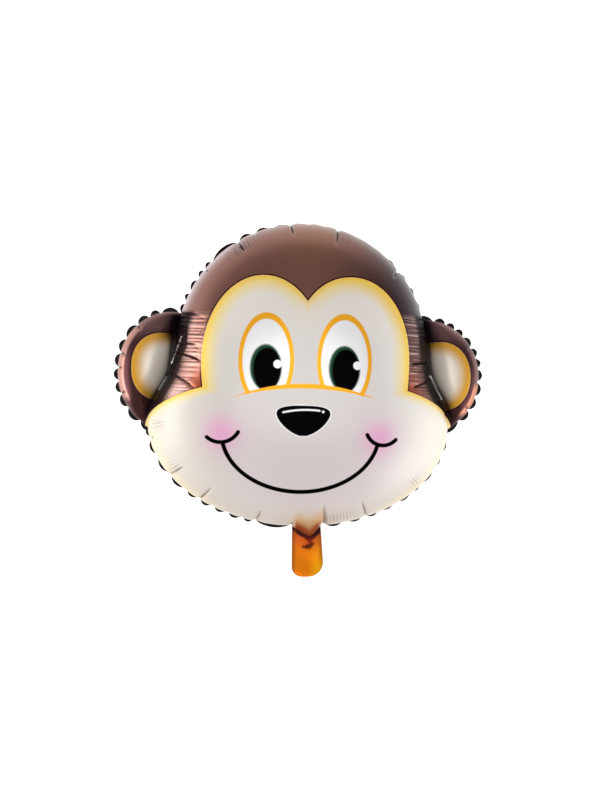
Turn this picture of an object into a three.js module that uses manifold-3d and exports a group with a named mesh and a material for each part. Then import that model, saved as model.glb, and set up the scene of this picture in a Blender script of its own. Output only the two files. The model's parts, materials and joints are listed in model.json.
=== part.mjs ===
// A foil balloon in the shape of a monkey's head, lying on its back with the face up.
// Two films are welded together round one flat outline of head, ears and filling neck, and
// gas swells them into a lens: one sealed body with a puckered weld flange all round it.
// Millimetres. +Z points up out of the face, +Y to the crown of the head, and +X to the
// picture's right. The origin is under the middle of the outline, on the resting surface.

import * as THREE from 'three';
import { mergeVertices } from 'three/addons/utils/BufferGeometryUtils.js';
import Module from 'manifold-3d';

// The head's outline: a round skull over a wide muzzle
const SKULL_RADIUS = 157;
const SKULL_CENTRE_UP = 46;
const MUZZLE_HALF_WIDTH = 187;
const MUZZLE_CENTRE_DOWN = 52;
const MUZZLE_DEPTH = 125;
const MUZZLE_RISE = 89;
const OUTLINE_BLEND = 8;
const HEAD_SWELL = 112;

// The ears, which grow out of the head's sides
const LEFT_EAR = {
  angle: 177, sunkIn: 3, halfWidth: 68, halfHeight: 77, swell: 33, tilt: 6,
};
const RIGHT_EAR = {
  angle: 6, sunkIn: 6, halfWidth: 72, halfHeight: 74, swell: 32, tilt: -10,
};
const VALLEY_DIP = 0.5;
const VALLEY_WIDTH = 17;

// The weld flange and its puckers
const FLANGE_WIDTH = 5;
const FLANGE_NOTCH_SHARE = 0.15;
const FLANGE_THICKNESS = 0.8;
const PUCKER_PITCH = 19;
const PUCKER_DEPTH = 1.6;
const PUCKER_REACH = 12;
const PUCKER_ROUNDNESS = 0.7;
const MIN_PUCKERS = 8;

// Puckers aren't evenly spaced: two waves, each a share of the pitch and its turn per pucker
const PUCKER_DRIFT = [
  { share: 0.22, turn: 2.4 },
  { share: 0.1, turn: 5.1 },
];

// The long creases that run up the bulge from some of the notches, at these angles
const CREASE_DEPTH = 4;
const CREASE_REACH = 34;
const HEAD_CREASES = [52, 79, 96, 116, 132, 217, 231, 254, 269, 282, 299, 322];
const LEFT_EAR_CREASES = [118, 172, 200, 236];
const RIGHT_EAR_CREASES = [62, 18, 338, 310];

// The flat filling neck below the chin, and the gas that reaches into its root
const NECK_OFFSET = 16;
const NECK_LENGTH = 66;
const NECK_ROOT_WIDTH = 36;
const NECK_END_WIDTH = 40;
const NECK_END_RADIUS = 15;
const NECK_THICKNESS = 1.2;
const NECK_LEAN = 2.5;
const NECK_TUCK = 12;
const THROAT_LENGTH = 25;
const THROAT_SWELL = 9;
const THROAT_POINT = 1.15;

// The flat spot that the balloon rests on
const REST_RADIUS = 45;

const FOIL_BROWN = 0x6b4640;

// The bulge's height is swell * sqrt(1 - out ** BULGE_POWER), from 0 at the rim to swell at
// the crown, which is close to the true curve of an inflated round foil envelope.
const BULGE_POWER = 3;

// Each ring is an angle up the bulge, in degrees, and its points for each pucker.
const HEAD_RINGS = [
  [8, 4], [17, 2], [27, 2], [38, 2], [50, 1], [62, 1], [74, 0.5], [83, 0.25],
];
const EAR_RINGS = [
  [11, 4], [22, 2], [33, 2], [44, 2], [55, 2], [66, 1], [77, 1],
];
const THROAT_RINGS = [[20, 2], [45, 2], [70, 1]];
const RING_GAP = 3;
const FLANGE_POINTS = 5;
const REST_POINTS = 0.5;
const NECK_CORNER_POINTS = 8;
const RIM_SAMPLES = 360;
const BISECTIONS = 40;
const MERGE_DISTANCE = 1e-4;

const radians = (degrees) => (degrees * Math.PI) / 180;
const mod = (value, size) => ((value % size) + size) % size;

// How far out a point is as a share of the outline: below 1 inside, above 1 outside.
function headShare(x, y) {
  const skull = Math.hypot(x, y - SKULL_CENTRE_UP) / SKULL_RADIUS;
  const up = y + MUZZLE_CENTRE_DOWN;
  const muzzle = Math.hypot(x / MUZZLE_HALF_WIDTH, up / (up < 0 ? MUZZLE_DEPTH : MUZZLE_RISE));
  return (skull ** -OUTLINE_BLEND + muzzle ** -OUTLINE_BLEND) ** (-1 / OUTLINE_BLEND);
}

// The distance from (0, 0) to the outline in one direction.
function reach(share, angle) {
  const beyond = (distance) => (
    share(distance * Math.cos(angle), distance * Math.sin(angle)) >= 1
  );
  let inside = 0;
  let outside = 1;
  while (!beyond(outside)) {
    outside *= 2;
  }
  for (let step = 0; step < BISECTIONS; step += 1) {
    const middle = (inside + outside) / 2;
    if (beyond(middle)) {
      outside = middle;
    } else {
      inside = middle;
    }
  }
  return inside;
}

const headReach = (angle) => reach(headShare, angle);

// One lobe of the balloon: its outline in polar form, how far it swells and its puckers.
function makeLobe({
  rim, swell, rings, creases = [], shape = (x, y, z) => z, restRadius = 0,
  puckerDepth = PUCKER_DEPTH,
}) {
  let meanRim = 0;
  for (let i = 0; i < RIM_SAMPLES; i += 1) {
    meanRim += rim((2 * Math.PI * i) / RIM_SAMPLES) / RIM_SAMPLES;
  }
  const puckers = Math.max(MIN_PUCKERS, Math.round((2 * Math.PI * meanRim) / PUCKER_PITCH));
  const creased = creasedNotches(creases, puckers);
  return { rim, swell, rings, shape, restRadius, puckerDepth, meanRim, puckers, creased };
}

function notchAngle(notch, puckers) {
  const drift = PUCKER_DRIFT.reduce(
    (sum, { share, turn }) => sum + share * Math.sin(turn * mod(notch, puckers)),
    0,
  );
  return (2 * Math.PI * (notch + drift)) / puckers;
}

// The notches nearest to the places of the long creases.
function creasedNotches(creases, puckers) {
  return new Set(creases.map((degrees) => {
    const gap = (notch) => (
      Math.abs(Math.sin((notchAngle(notch, puckers) - radians(degrees)) / 2))
    );
    let nearest = 0;
    for (let notch = 1; notch < puckers; notch += 1) {
      if (gap(notch) < gap(nearest)) {
        nearest = notch;
      }
    }
    return nearest;
  }));
}

// How open a pucker is: 0 in its notch and 1 halfway to the next one.
const openness = (phase) => Math.sin(Math.PI * phase) ** PUCKER_ROUNDNESS;

// How far the film is drawn in at a place along the rim and a distance up from it.
function drawnIn(lobe, { notch, phase }, distance) {
  const pucker = (1 - openness(phase)) * Math.exp(-((distance / PUCKER_REACH) ** 2));
  const nearest = mod(phase < 0.5 ? notch : notch + 1, lobe.puckers);
  if (!lobe.creased.has(nearest)) {
    return lobe.puckerDepth * pucker;
  }
  const sharp = (1 - Math.sin(Math.PI * phase)) ** 2;
  const crease = sharp * Math.max(0, 1 - distance / CREASE_REACH);
  return lobe.puckerDepth * pucker + CREASE_DEPTH * crease;
}

// The places round one ring: whole puckers are cut into parts, or skipped over.
function ringPlaces(lobe, perPucker) {
  const places = [];
  const skip = Math.max(1, Math.round(1 / perPucker));
  const parts = Math.max(1, Math.round(perPucker));
  for (let notch = 0; notch < lobe.puckers; notch += skip) {
    const from = notchAngle(notch, lobe.puckers);
    const to = notchAngle(notch + 1, lobe.puckers);
    for (let part = 0; part < parts; part += 1) {
      const phase = part / parts;
      places.push({ notch, phase, angle: from + (to - from) * phase });
    }
  }
  return places;
}

// A point of the film: rise is the angle up the bulge, and side is 1 above and -1 below.
// The outline rounds itself off towards the crown, and puckers draw the film inwards.
function filmPoint(lobe, place, rise, side) {
  const out = Math.cos(rise) ** (2 / BULGE_POWER);
  const full = lobe.meanRim + (lobe.rim(place.angle) - lobe.meanRim) * Math.cos(rise);
  const height = lobe.swell * Math.sin(rise);
  const inward = drawnIn(lobe, place, Math.hypot(full * (1 - out), height));
  const slopeOut = lobe.swell * Math.cos(rise);
  const slopeUp = (2 / BULGE_POWER) * full * Math.sin(rise) * Math.cos(rise) ** (2 / BULGE_POWER - 1);
  const slope = Math.hypot(slopeOut, slopeUp);
  const r = full * out - (inward * slopeOut) / slope;
  const x = r * Math.cos(place.angle);
  const y = r * Math.sin(place.angle);
  const z = Math.max(0, height - (inward * slopeUp) / slope);
  return [x, y, side * (FLANGE_THICKNESS / 2 + lobe.shape(x, y, z))];
}

function flangePoint(lobe, place, side) {
  const scallop = FLANGE_NOTCH_SHARE + (1 - FLANGE_NOTCH_SHARE) * openness(place.phase);
  const r = lobe.rim(place.angle) + FLANGE_WIDTH * scallop;
  return [r * Math.cos(place.angle), r * Math.sin(place.angle), (side * FLANGE_THICKNESS) / 2];
}

// The flat spot under a lobe, level with the bulge at its own radius.
function restPoint(lobe, place, rise, side) {
  const x = lobe.restRadius * Math.cos(place.angle);
  const y = lobe.restRadius * Math.sin(place.angle);
  return [x, y, side * (FLANGE_THICKNESS / 2 + lobe.swell * Math.sin(rise))];
}

// Fills the band between an outer and an inner ring, whatever their numbers of points.
function stitch(outer, inner, face) {
  const at = (ring, i) => ring[i % ring.length];
  const angleAt = (ring, i) => at(ring, i).angle + (i >= ring.length ? 2 * Math.PI : 0);
  let i = 0;
  let j = 0;
  while (i < outer.length || j < inner.length) {
    const innerIsDone = j >= inner.length;
    const outerIsNext = innerIsDone || angleAt(outer, i + 1) <= angleAt(inner, j + 1);
    if (i < outer.length && outerIsNext) {
      face(at(outer, i).id, at(outer, i + 1).id, at(inner, j).id);
      i += 1;
    } else {
      face(at(outer, i).id, at(inner, j + 1).id, at(inner, j).id);
      j += 1;
    }
  }
}

// The closed surface of a lobe: the bulge above, the bulge below and the flange's edge.
function lobeGeometry(lobe) {
  const positions = [];
  const triangles = [];

  const addPoint = (point) => {
    positions.push(...point);
    return positions.length / 3 - 1;
  };
  const addRing = (places, point) => places.map((place) => (
    { id: addPoint(point(place)), angle: place.angle }
  ));

  // Adds one side's rings from the flange's edge up to the crown, and returns the edge.
  const addSide = (side) => {
    const face = (a, b, c) => triangles.push(...(side > 0 ? [a, b, c] : [a, c, b]));
    const flangePlaces = ringPlaces(lobe, FLANGE_POINTS);
    const edge = addRing(flangePlaces, (place) => flangePoint(lobe, place, side));
    const seam = addRing(flangePlaces, (place) => filmPoint(lobe, place, 0, side));
    stitch(edge, seam, face);

    const restRadius = side < 0 ? lobe.restRadius : 0;
    const lastRise = Math.acos((restRadius / lobe.meanRim) ** (BULGE_POWER / 2));
    let outer = seam;
    for (const [degrees, perPucker] of lobe.rings) {
      const rise = radians(degrees);
      if (rise < lastRise - radians(RING_GAP)) {
        const places = ringPlaces(lobe, perPucker);
        const inner = addRing(places, (place) => filmPoint(lobe, place, rise, side));
        stitch(outer, inner, face);
        outer = inner;
      }
    }
    if (restRadius > 0) {
      const places = ringPlaces(lobe, REST_POINTS);
      const inner = addRing(places, (place) => restPoint(lobe, place, lastRise, side));
      stitch(outer, inner, face);
      outer = inner;
    }
    const height = lobe.shape(0, 0, lobe.swell * Math.sin(lastRise));
    const crown = addPoint([0, 0, side * (FLANGE_THICKNESS / 2 + height)]);
    outer.forEach((point, i) => face(point.id, outer[(i + 1) % outer.length].id, crown));
    return edge;
  };

  const above = addSide(1);
  const below = addSide(-1);
  above.forEach((point, i) => {
    const next = (i + 1) % above.length;
    triangles.push(point.id, below[i].id, below[next].id);
    triangles.push(point.id, below[next].id, above[next].id);
  });

  const geometry = new THREE.BufferGeometry();
  geometry.setAttribute('position', new THREE.Float32BufferAttribute(positions, 3));
  geometry.setIndex(triangles);
  return geometry;
}

function headGeometry() {
  return lobeGeometry(makeLobe({
    rim: headReach,
    swell: HEAD_SWELL,
    rings: HEAD_RINGS,
    creases: HEAD_CREASES,
    restRadius: REST_RADIUS,
  }));
}

function earGeometry(ear, creases) {
  const angle = radians(ear.angle);
  const away = headReach(angle) - ear.sunkIn;
  const centre = new THREE.Vector2(away * Math.cos(angle), away * Math.sin(angle));
  const tilt = radians(ear.tilt);
  const share = (x, y) => Math.hypot(
    (x * Math.cos(tilt) + y * Math.sin(tilt)) / ear.halfWidth,
    (y * Math.cos(tilt) - x * Math.sin(tilt)) / ear.halfHeight,
  );
  // The ear sinks towards the valley where it meets the head.
  const shape = (x, y, z) => {
    const fromHead = new THREE.Vector2(x, y).add(centre);
    const clear = Math.max(0, fromHead.length() - headReach(fromHead.angle()));
    return z * (1 - VALLEY_DIP * Math.exp(-((clear / VALLEY_WIDTH) ** 2)));
  };
  const rim = (direction) => reach(share, direction);
  const lobe = makeLobe({ rim, swell: ear.swell, rings: EAR_RINGS, creases, shape });
  return lobeGeometry(lobe).translate(centre.x, centre.y, 0);
}

// The neck's frame has its own +Y towards the chin and its origin on the head's rim.
function placeAtNeck(geometry) {
  const angle = -Math.acos(NECK_OFFSET / headReach(-Math.PI / 2));
  const rim = headReach(angle);
  geometry.rotateZ(radians(NECK_LEAN));
  return geometry.translate(rim * Math.cos(angle), rim * Math.sin(angle), 0);
}

function throatGeometry() {
  const across = (NECK_ROOT_WIDTH - FLANGE_WIDTH) / 2;
  const share = (x, y) => (
    (Math.abs(x) / across) ** THROAT_POINT + (Math.abs(y) / THROAT_LENGTH) ** THROAT_POINT
  ) ** (1 / THROAT_POINT);
  const rim = (direction) => reach(share, direction);
  const lobe = makeLobe({ rim, swell: THROAT_SWELL, rings: THROAT_RINGS, puckerDepth: 0 });
  return placeAtNeck(lobeGeometry(lobe));
}

function neckGeometry() {
  const rootHalf = NECK_ROOT_WIDTH / 2;
  const endHalf = NECK_END_WIDTH / 2;
  const radius = Math.min(NECK_END_RADIUS, endHalf);
  const cornerUp = radius - NECK_LENGTH;
  const outline = new THREE.Shape();
  outline.moveTo(-rootHalf, NECK_TUCK);
  outline.lineTo(-rootHalf, 0);
  outline.lineTo(-endHalf, cornerUp);
  outline.absarc(radius - endHalf, cornerUp, radius, Math.PI, 1.5 * Math.PI, false);
  outline.absarc(endHalf - radius, cornerUp, radius, 1.5 * Math.PI, 2 * Math.PI, false);
  outline.lineTo(rootHalf, 0);
  outline.lineTo(rootHalf, NECK_TUCK);
  outline.closePath();
  const plate = new THREE.ExtrudeGeometry(outline, {
    depth: NECK_THICKNESS, bevelEnabled: false, curveSegments: NECK_CORNER_POINTS,
  });
  return placeAtNeck(plate.translate(0, 0, -NECK_THICKNESS / 2));
}

// Joining the lobes and the neck into one sealed body
const wasm = await Module();
wasm.setup();

function toSolid(geometry) {
  const bare = geometry.clone();
  bare.deleteAttribute('normal');
  bare.deleteAttribute('uv');
  const merged = mergeVertices(bare, MERGE_DISTANCE);
  return new wasm.Manifold(new wasm.Mesh({
    numProp: 3,
    vertProperties: new Float32Array(merged.attributes.position.array),
    triVerts: new Uint32Array(merged.index.array),
  }));
}

function toGeometry(solid) {
  const { vertProperties, triVerts } = solid.getMesh();
  const geometry = new THREE.BufferGeometry();
  geometry.setAttribute('position', new THREE.BufferAttribute(new Float32Array(vertProperties), 3));
  geometry.setIndex(new THREE.BufferAttribute(new Uint32Array(triVerts), 1));
  geometry.computeVertexNormals();
  return geometry;
}

const welded = [
  headGeometry(),
  earGeometry(LEFT_EAR, LEFT_EAR_CREASES),
  earGeometry(RIGHT_EAR, RIGHT_EAR_CREASES),
  throatGeometry(),
  neckGeometry(),
].map(toSolid).reduce((whole, piece) => whole.add(piece));

const balloon = new THREE.Mesh(
  toGeometry(welded),
  new THREE.MeshStandardMaterial({ color: FOIL_BROWN, roughness: 0.3, metalness: 0.6 }),
);
balloon.name = 'balloon';

// The middle of the outline goes over the origin, and the resting spot onto z = 0.
balloon.geometry.computeBoundingBox();
const { min, max } = balloon.geometry.boundingBox;
balloon.position.set(-(min.x + max.x) / 2, -(min.y + max.y) / 2, -min.z);

const group = new THREE.Group();
group.add(balloon);

export default group;
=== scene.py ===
"""A monkey-head foil balloon lying on its back: fine film, puckered seam, print with painted
light and shade, and finish.
"""

import json
import math

import bpy
import numpy as np
from mathutils import Matrix, Vector


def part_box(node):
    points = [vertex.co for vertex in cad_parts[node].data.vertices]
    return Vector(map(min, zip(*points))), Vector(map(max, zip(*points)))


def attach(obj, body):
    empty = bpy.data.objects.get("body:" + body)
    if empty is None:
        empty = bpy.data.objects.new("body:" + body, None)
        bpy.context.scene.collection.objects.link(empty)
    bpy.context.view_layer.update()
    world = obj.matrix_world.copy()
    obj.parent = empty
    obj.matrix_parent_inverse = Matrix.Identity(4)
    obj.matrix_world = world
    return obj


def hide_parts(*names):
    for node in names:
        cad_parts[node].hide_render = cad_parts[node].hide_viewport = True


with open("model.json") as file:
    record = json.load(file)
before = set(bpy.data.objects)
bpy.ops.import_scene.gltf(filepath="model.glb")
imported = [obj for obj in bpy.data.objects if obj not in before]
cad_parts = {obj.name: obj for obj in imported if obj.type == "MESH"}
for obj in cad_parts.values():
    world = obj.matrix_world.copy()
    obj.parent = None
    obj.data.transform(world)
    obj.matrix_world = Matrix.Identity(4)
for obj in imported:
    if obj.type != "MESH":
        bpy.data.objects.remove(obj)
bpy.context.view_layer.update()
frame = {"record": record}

# Lengths are in millimetres in the head's own frame, whose origin is at the middle of the
# head in the plane of the weld: +Z out of the face and +Y to the crown.
MM = 0.001

# The head's outline: a round skull over a wide muzzle
SKULL_RADIUS = 157
SKULL_CENTRE_UP = 46
MUZZLE_HALF_WIDTH = 187
MUZZLE_CENTRE_DOWN = 52
MUZZLE_DEPTH = 125
MUZZLE_RISE = 89
OUTLINE_BLEND = 8
HEAD_SWELL = 112

# How full a lobe's side is, and how many degrees up the bulge its last ring and its middle are
BULGE_POWER = 3
LAST_RISE = 89
TOP_RISE = 89.9

# The ears
LEFT_EAR = dict(angle=177, sunk_in=3, half_width=68, half_height=77, swell=33, tilt=6)
RIGHT_EAR = dict(angle=6, sunk_in=6, half_width=72, half_height=74, swell=32, tilt=-10)
VALLEY_DIP = 0.5
VALLEY_WIDTH = 17
RIDGE_HEIGHT = 1.6
RIDGE_WIDTH = 1.5
LEFT_RIDGE = ((-149, 52), (-162, 18), (-177, -14))
RIGHT_RIDGE = ((157, 46), (164, 17), (182, -17))

# The weld flange is bare beside each notch. A gap has its usual size and its spread, and it
# follows a wave from one scallop to the next. A scallop this many times the mean has a small one.
FLANGE_WIDTH = 5.2
FLANGE_NARROWEST = 0.2
FLANGE_GAP = (0.45, 0.35)
EAR_FLANGE_GAP = (0.18, 0.1)
GAP_WAVE = (3.155, 2.9)
WIDE_SCALLOP = 1.5
WIDE_GAP = 0.12
FLANGE_THICKNESS = 0.8
FLANGE_RINGS = 3

# How much of the head's flange shows from the front: most of it is curled back over the crown.
FLANGE_SHOWN = 0.9
HIDDEN_OVER_CROWN = 0.78
HIDDEN_ON_RIGHT = 0.06
MORE_ON_UPPER_LEFT = 0.04

# The puckers that the shrunken weld makes in the film, and the long creases from some of their
# notches. A wave has its share, its turn from one pucker to the next and its start.
PUCKER_DEPTH = 1.4
PUCKER_REACH = 24
PUCKER_ROUNDNESS = 0.7
PUCKER_DRIFT = ((0.14, 2.4), (0.06, 5.1))
REACH_WAVE = (0.4, 12.9, 4.1)
DEPTH_WAVE = (0.3, 7.7, 1.3)
CREASE_SHARPNESS = 4
CREASE_FALL = 5
CREASE_AT_WELD = 0.3
CREASE_GROWS = (1, 12)
CALM_THROAT = 3

# How far in the film is drawn where the painted shade of the creases is full
FULL_PUCKER = 4.5
FULL_WRINKLE = 2.2

CREASE_DEPTH = 4
EAR_PUCKER_DEPTH = 1.1
EAR_PUCKER_REACH = 9
EAR_CREASE_DEPTH = 3

# Each long crease has its direction, the puckers from it to the next, and how far up it runs.
HEAD_CREASES = (
    (52, 4, 62), (79, 3, 70), (96, 3, 60), (116, 1, 62), (128, 1, 20), (132, 14, 40),
    (202, 2, 34), (217, 2, 66), (231, 4, 72), (254, 1, 68), (269, 1, 46), (282, 2, 88),
    (299, 18, 78),
)
LEFT_EAR_CREASES = (
    (103, 2, 6), (128, 2, 22), (161, 1, 22), (177, 2, 20), (205, 2, 20), (239, 11, 6),
)
RIGHT_EAR_CREASES = (
    (34, 2, 20), (58, 2, 14), (81, 11, 6), (313, 1, 6), (327.5, 2, 22), (358, 3, 22),
)

# Points in each pucker, and how much they crowd towards its notches
PARTS = 16
EAR_PARTS = 12
FINE_PARTS = 24
CROWDING = 0.45

# The flat filling neck, and the chin's film that is drawn down over it in a point
NECK_OFFSET = 16
NECK_LENGTH = 64.6
NECK_ROOT_WIDTH = 36
NECK_END_WIDTH = 40
NECK_SWING = 1.4
NECK_CORNERS = (13, 19)
NECK_THICKNESS = 1.2
NECK_ROWS = 66
NECK_COLUMNS = 41
NECK_LEAN = 2.5
NECK_TUCK = 12
NECK_DEPTH = 8
THROAT_LENGTH = 14.5
THROAT_TIP = 4.4
THROAT_LEFT = 22.4
THROAT_RIGHT = 12.8
THROAT_SWELL = 15
THROAT_ROUNDING = 0.08

# The flat spot that the balloon rests on
REST_RADIUS = 45

# Faces that meet at more than this many degrees have a sharp edge.
SHARP_ANGLE = 42

# The photograph's camera: millimetres to a pixel in the plane of the weld, how far the
# camera is turned to the left and rolled, and the pixel where the head's middle shows
IMAGE_SIZE = (600, 800)
MM_PER_PIXEL = 1.264
CAMERA_DISTANCE = 1500
CAMERA_YAW = 3.5
CAMERA_ROLL = 2.5
HEAD_PIXEL = (299.75, 385)
SENSOR = 36

# How much the print is turned on the film
PRINT_TURN = 1.5


def wave(numbers, place):
    share, turn, start = numbers
    return share * np.sin(turn * place + start)


def smooth(value, start, end):
    """Rises smoothly from 0 at start to 1 at end."""
    share = np.clip((value - start) / (end - start), 0, 1)
    return share * share * (3 - 2 * share)


# Outlines

def head_share(x, y):
    """How far out a point is as a share of the head's outline: below 1 inside it."""
    skull = np.hypot(x, y - SKULL_CENTRE_UP) / SKULL_RADIUS
    up = y + MUZZLE_CENTRE_DOWN
    muzzle = np.hypot(x / MUZZLE_HALF_WIDTH, up / np.where(up < 0, MUZZLE_DEPTH, MUZZLE_RISE))
    return (skull ** -OUTLINE_BLEND + muzzle ** -OUTLINE_BLEND) ** (-1 / OUTLINE_BLEND)


def ear_share(ear, x, y):
    """The same for an ear, from the ear's own centre."""
    tilt = math.radians(ear["tilt"])
    across = x * math.cos(tilt) + y * math.sin(tilt)
    along = y * math.cos(tilt) - x * math.sin(tilt)
    return np.hypot(across / ear["half_width"], along / ear["half_height"])


def reach(share, angles):
    """The distance from (0, 0) to the outline in each direction."""
    angles = np.asarray(angles, float)
    inside = np.zeros_like(angles)
    outside = np.full_like(angles, 2 * (SKULL_RADIUS + SKULL_CENTRE_UP))
    for _ in range(40):
        middle = (inside + outside) / 2
        within = share(middle * np.cos(angles), middle * np.sin(angles)) < 1
        inside = np.where(within, middle, inside)
        outside = np.where(within, outside, middle)
    return inside


def head_reach(angles):
    return reach(head_share, angles)


def throat_reach(angles):
    """How far the chin's film runs down over the neck in a point, past the head's rim."""
    across = head_reach(angles) * np.cos(angles) - NECK_OFFSET - THROAT_TIP
    share = np.where(across < 0, across / -THROAT_LEFT, across / THROAT_RIGHT)
    rounded = 1 + THROAT_ROUNDING - np.hypot(share, THROAT_ROUNDING)
    return THROAT_LENGTH * np.clip(rounded, 0, 1) * (np.sin(angles) < 0)


def past_head(x, y):
    """How far a point lies beyond the head's outline, below 0 inside it."""
    return np.hypot(x, y) - head_reach(np.arctan2(y, x))


def ear_centre(ear):
    angle = math.radians(ear["angle"])
    away = float(head_reach(angle)) - ear["sunk_in"]
    return away * math.cos(angle), away * math.sin(angle)


# Lobes: each is a closed lens of film with its flange

def make_lobe(share, swell, creases, **extras):
    """One lobe of the balloon, with the places of its puckers and long creases."""
    mean_rim = float(reach(share, np.radians(np.arange(360))).mean())
    lobe = dict(
        share=share, swell=swell, mean_rim=mean_rim, parts=PARTS, fine_spans=(), relief=None,
        shape=None, throat=None, rest_radius=0, flange_share=None, flange_gap=FLANGE_GAP,
        pucker=(PUCKER_DEPTH, PUCKER_REACH), crease_depth=CREASE_DEPTH,
    )
    lobe.update(extras)
    lobe["notches"], lobe["crease_reach"] = place_notches(creases)
    return lobe


def place_notches(creases):
    """Directions of the notches between puckers, and how far each one's crease runs, if any."""
    notches, reaches = [], []
    ends = [degrees for degrees, _, _ in creases[1:]] + [creases[0][0] + 360]
    for (start, count, crease_reach), end in zip(creases, ends):
        order = np.arange(count)
        drift = sum(part * np.sin(turn * (order + start)) for part, turn in PUCKER_DRIFT)
        drift[0] = 0
        notches.append(np.radians(start + (end - start) * (order + drift) / count))
        reaches += [crease_reach] + [0] * (count - 1)
    return np.concatenate(notches), np.array(reaches)


def make_spokes(lobe):
    """Every direction in which the lobe has points: its angle, its nearest notch and phase."""
    notches = lobe["notches"]
    count = len(notches)
    angles, phases, nearest, scallops, wide = [], [], [], [], []
    for notch in range(count):
        start = notches[notch]
        end = notches[(notch + 1) % count] + (2 * np.pi if notch == count - 1 else 0)
        middle = math.degrees((start + end) / 2) % 360
        fine = any((middle - low) % 360 < (high - low) % 360 for low, high in lobe["fine_spans"])
        parts = FINE_PARTS if fine else lobe["parts"]
        share = np.arange(parts) / parts
        # Points crowd towards the notches, where the film is sharpest.
        phase = share - CROWDING * np.sin(2 * np.pi * share) / (2 * np.pi)
        angles.append(start + (end - start) * phase)
        phases.append(phase)
        nearest.append(np.where(phase < 0.5, notch, (notch + 1) % count))
        scallops.append(np.full(parts, notch))
        wide.append(np.full(parts, end - start > WIDE_SCALLOP * 2 * np.pi / count))
    angle = np.concatenate(angles)
    return dict(
        angle=angle, phase=np.concatenate(phases), notch=np.concatenate(nearest),
        scallop=np.concatenate(scallops), wide=np.concatenate(wide),
        rim=reach(lobe["share"], angle),
        throat=lobe["throat"](angle) if lobe["throat"] else np.zeros_like(angle),
    )


def thin_out(spokes, step):
    return {key: values[::step] for key, values in spokes.items()}


def openness(phase):
    """0 in a pucker's notch and 1 halfway to the next one."""
    return np.abs(np.sin(np.pi * phase)) ** PUCKER_ROUNDNESS


def drawn_in(lobe, spokes, away):
    """How far puckers and creases draw the film inwards, at a distance up from the weld."""
    phase, notch = spokes["phase"], spokes["notch"]
    pucker_depth, pucker_reach = lobe["pucker"]
    crease_reach = lobe["crease_reach"][notch]
    reach_here = pucker_reach * (1 + wave(REACH_WAVE, notch))
    depth_here = pucker_depth * (1 + wave(DEPTH_WAVE, notch))
    pucker = depth_here * (1 - openness(phase)) * np.exp(-((away / reach_here) ** 2))
    sharp = (1 - np.abs(np.sin(np.pi * phase))) ** CREASE_SHARPNESS
    fading = np.clip(1 - (away / np.maximum(crease_reach, 1)) ** CREASE_FALL, 0, 1)
    growing = CREASE_AT_WELD + (1 - CREASE_AT_WELD) * smooth(away, *CREASE_GROWS)
    crease = lobe["crease_depth"] * sharp * fading * growing
    calm = np.clip(1 - spokes["throat"] / CALM_THROAT, 0, 1)
    return (pucker + crease) * calm


def film_ring(lobe, spokes, rise, side):
    """One ring of the film: rise is the angle up the bulge, side is 1 above and -1 below."""
    angle = spokes["angle"]
    out = math.cos(rise) ** (2 / BULGE_POWER)
    full = lobe["mean_rim"] + (spokes["rim"] - lobe["mean_rim"]) * math.cos(rise)
    height = lobe["swell"] * math.sin(rise)
    away = np.hypot(full * (1 - out), height)
    full = full + spokes["throat"] * math.exp(-(height / THROAT_SWELL) ** 2)
    inward = drawn_in(lobe, spokes, away)
    fold = inward / FULL_PUCKER
    if lobe["relief"] and side > 0:
        flat_x, flat_y = full * out * np.cos(angle), full * out * np.sin(angle)
        relief = lobe["relief"](flat_x, flat_y, away)
        inward = inward + relief
        fold = fold + relief / FULL_WRINKLE
    slope_out = lobe["swell"] * math.cos(rise)
    slope_up = 2 / BULGE_POWER * full * math.sin(rise) * math.cos(rise) ** (2 / BULGE_POWER - 1)
    slope = np.hypot(slope_out, slope_up)
    r = full * out - inward * slope_out / slope
    z = np.maximum(0, height - inward * slope_up / slope)
    x, y = r * np.cos(angle), r * np.sin(angle)
    if lobe["shape"]:
        z = lobe["shape"](x, y, z)
    if lobe["rest_radius"] and side < 0:
        z = np.minimum(z, rest_depth(lobe))
    return np.column_stack([x, y, side * (FLANGE_THICKNESS / 2 + z), np.clip(fold, 0, 1)])


def rest_depth(lobe):
    out = lobe["rest_radius"] / lobe["mean_rim"]
    return lobe["swell"] * math.sqrt(1 - out ** BULGE_POWER)


def flange_ring(lobe, spokes, share, seam, side):
    """A ring across the flange: share is 0 at the seam and 1 at the cut edge."""
    angle = spokes["angle"]
    usual, spread = lobe["flange_gap"]
    gap = usual + spread * np.sin(GAP_WAVE[0] * spokes["scallop"] + GAP_WAVE[1])
    gap = np.where(spokes["wide"], WIDE_GAP, gap)
    lens = np.clip(np.abs(np.sin(np.pi * spokes["phase"])) - gap, 0, 1) / (1 - gap)
    widest = FLANGE_WIDTH * (1 - 0.5 * gap)
    width = FLANGE_NARROWEST + (widest - FLANGE_NARROWEST) * lens ** PUCKER_ROUNDNESS
    seen = np.ones_like(angle) if lobe["flange_share"] is None else lobe["flange_share"](angle)
    curl = np.arccos(np.clip(seen, 0.05, 1)) * share
    r = np.hypot(seam[:, 0], seam[:, 1]) + width * share * np.cos(curl)
    z = -width * share * np.sin(curl)
    half = side * FLANGE_THICKNESS / 2
    return np.column_stack([r * np.cos(angle), r * np.sin(angle), z + half])


def ring_rises(lobe):
    """Angles up the bulge whose rings are close together by the weld and wide at the crown."""
    rise = np.linspace(0, math.radians(LAST_RISE), 2000)
    out = np.cos(rise) ** (2 / BULGE_POWER)
    steps = np.hypot(np.diff(lobe["mean_rim"] * out), np.diff(lobe["swell"] * np.sin(rise)))
    along = np.concatenate([[0], np.cumsum(steps)])
    first, last = lobe["gaps"]
    places, place = [], 0.0
    while place < along[-1]:
        places.append(place)
        place += first + (last - first) * (place / along[-1])
    return np.interp(places, along, rise), np.array(places)


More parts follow.
